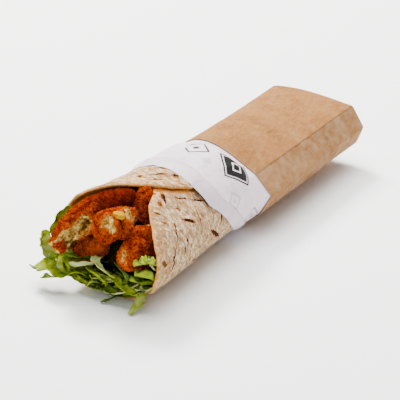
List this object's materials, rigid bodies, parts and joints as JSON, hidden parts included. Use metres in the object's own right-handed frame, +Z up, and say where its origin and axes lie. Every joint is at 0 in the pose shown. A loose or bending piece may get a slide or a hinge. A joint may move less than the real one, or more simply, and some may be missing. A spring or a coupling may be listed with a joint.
{
  "type": "falafel wrap",
  "caption": "Rolled flatbread wrap filled with crumbed falafel pieces and shredded lettuce, held in a paper liner and an open card sleeve.",
  "frame": {"origin": "bottom centre of the whole wrap's box, on the surface it lies on", "axes": "+Y along the wrap from its open mouth to the sleeve's far end, +X across it, +Z up"},
  "size_m": [0.083, 0.2288, 0.0552],
  "materials": {
    "card": "uncoated kraft card, matte, faintly mottled",
    "paper": "thin matte greaseproof paper, lightly creased",
    "flatbread": "soft floury flatbread with toasted marks",
    "fried_crumb": "rough deep-fried crumb coating over pale vegetable mash",
    "corn": "smooth moist sweetcorn",
    "lettuce": "crisp waxy leaf with pale ribs"
  },
  "bodies": {
    "root": {"sleeve": "card", "paper_liner": "paper", "tortilla": "flatbread", "falafel_left": "fried_crumb", "falafel_centre": "fried_crumb", "falafel_lower": "fried_crumb", "falafel_right": "fried_crumb", "falafel_back": "fried_crumb", "sweetcorn": "corn", "lettuce": "lettuce"}
  },
  "joints": []
}
